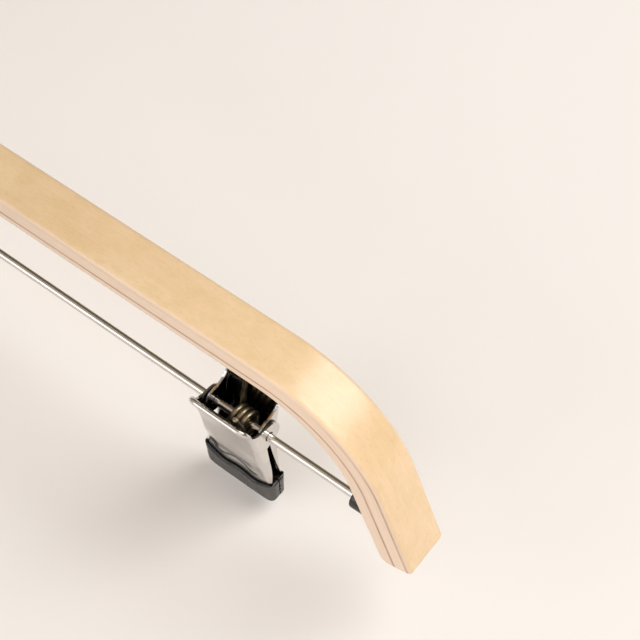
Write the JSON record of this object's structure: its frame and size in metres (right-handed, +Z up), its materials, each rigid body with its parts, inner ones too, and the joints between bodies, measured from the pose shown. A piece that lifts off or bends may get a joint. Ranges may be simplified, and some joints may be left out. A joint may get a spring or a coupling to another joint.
{
  "type": "clip trouser hanger",
  "caption": "Bentwood garment hanger with downturned arms, a swivelling wire hook and a rod carrying sliding spring clips for trousers or skirts.",
  "frame": {"origin": "point under the crest of the hook's inside that rests on a rail", "axes": "+X along the bow towards the arm seen in the picture, -Y to the front, +Z up"},
  "size_m": [0.42, 0.0174, 0.1686],
  "materials": {
    "veneer": "satin clear lacquer over pale maple or beech veneer, warm yellow, with brown glue lines on its sides",
    "hook_plating": "bright plated steel",
    "rod_steel": "bright drawn steel",
    "clip_plating": "bright plated sheet steel",
    "spring_steel": "dark bronze-tinted spring wire",
    "black_plastic": "glossy black"
  },
  "bodies": {
    "hook": {"hook": "hook_plating", "hook_nut": "hook_plating"},
    "bow": {"bow_outer_ply": "veneer", "bow_core_ply": "veneer", "bow_inner_ply": "veneer", "hook_collar": "hook_plating", "hook_washer": "hook_plating", "clip_rod": "rod_steel", "rod_sleeve_left": "black_plastic", "rod_sleeve_right": "black_plastic"},
    "clip_right_carrier": {"clip_right_spring": "spring_steel"},
    "clip_right_rear": {"clip_right_rear_jaw": "clip_plating", "clip_right_rear_pad": "black_plastic"},
    "clip_right_front": {"clip_right_front_jaw": "clip_plating", "clip_right_front_pad": "black_plastic"},
    "clip_left_carrier": {"clip_left_spring": "spring_steel"},
    "clip_left_rear": {"clip_left_rear_jaw": "clip_plating", "clip_left_rear_pad": "black_plastic"},
    "clip_left_front": {"clip_left_front_jaw": "clip_plating", "clip_left_front_pad": "black_plastic"}
  },
  "joints": [
    {"name": "hook_swivel", "type": "hinge", "parent": "hook", "child": "bow", "pos_m": [0, 0, -0.07], "axis": [0, 0, 1], "continuous": true},
    {"name": "clip_right_slide", "type": "slide", "parent": "bow", "child": "clip_right_carrier", "axis": [1, 0, 0], "range_m": [-0.133, 0.015]},
    {"name": "clip_right_swing", "type": "hinge", "parent": "clip_right_carrier", "child": "clip_right_rear", "pos_m": [0.1495, 0, -0.1321], "axis": [1, 0, 0], "continuous": true, "deforming": ["clip_right_spring"]},
    {"name": "clip_right_open", "type": "hinge", "parent": "clip_right_rear", "child": "clip_right_front", "pos_m": [0.1495, 0, -0.1321], "axis": [-1, 0, 0], "range_deg": [0, 32], "stiffness_Nm_per_rad": 0.125, "springref_deg": -91.67, "deforming": ["clip_right_spring"]},
    {"name": "clip_left_slide", "type": "slide", "parent": "bow", "child": "clip_left_carrier", "axis": [-1, 0, 0], "range_m": [-0.133, 0.015]},
    {"name": "clip_left_swing", "type": "hinge", "parent": "clip_left_carrier", "child": "clip_left_rear", "pos_m": [-0.1495, 0, -0.1321], "axis": [1, 0, 0], "continuous": true, "deforming": ["clip_left_spring"]},
    {"name": "clip_left_open", "type": "hinge", "parent": "clip_left_rear", "child": "clip_left_front", "pos_m": [-0.1495, 0, -0.1321], "axis": [-1, 0, 0], "range_deg": [0, 32], "stiffness_Nm_per_rad": 0.125, "springref_deg": -91.67, "deforming": ["clip_left_spring"]}
  ]
}
